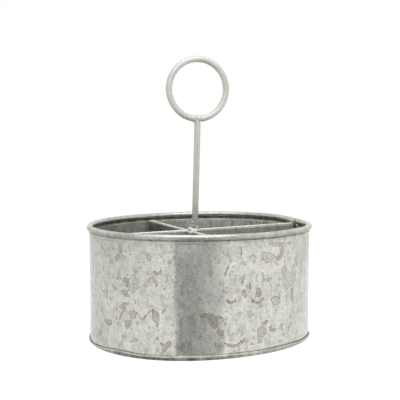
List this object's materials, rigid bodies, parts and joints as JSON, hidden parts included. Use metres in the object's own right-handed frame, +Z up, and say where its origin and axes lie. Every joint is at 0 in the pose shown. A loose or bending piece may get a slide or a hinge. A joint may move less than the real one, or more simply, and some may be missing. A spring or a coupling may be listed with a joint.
{
  "type": "cutlery caddy",
  "caption": "Oval galvanised sheet tub with crossed dividers and an upright wire ring handle, for carrying cutlery to the table.",
  "frame": {"origin": "on the resting plane, below the middle of the oval", "axes": "+Z up; X along the oval's long axis with the side seam at +X; Y across"},
  "size_m": [0.2252, 0.1966, 0.2785],
  "materials": {
    "galvanised_sheet": "hot-dip zinc with matt spangle",
    "zinc_wire": "satin zinc",
    "solder": "dull tinned lumps"
  },
  "bodies": {
    "root": {"tub_wall": "galvanised_sheet", "base_plate": "galvanised_sheet", "long_divider": "galvanised_sheet", "cross_divider": "galvanised_sheet", "rim_wire": "zinc_wire", "handle": "zinc_wire", "side_seam_solder": "solder", "ring_weld": "solder", "rod_weld": "solder", "crossing_weld": "solder", "long_tack_near_low": "solder", "long_tack_far_low": "solder", "long_tack_near_high": "solder", "long_tack_far_high": "solder", "cross_tack_near_low": "solder", "cross_tack_far_low": "solder", "cross_tack_near_high": "solder", "cross_tack_far_high": "solder"}
  },
  "joints": []
}
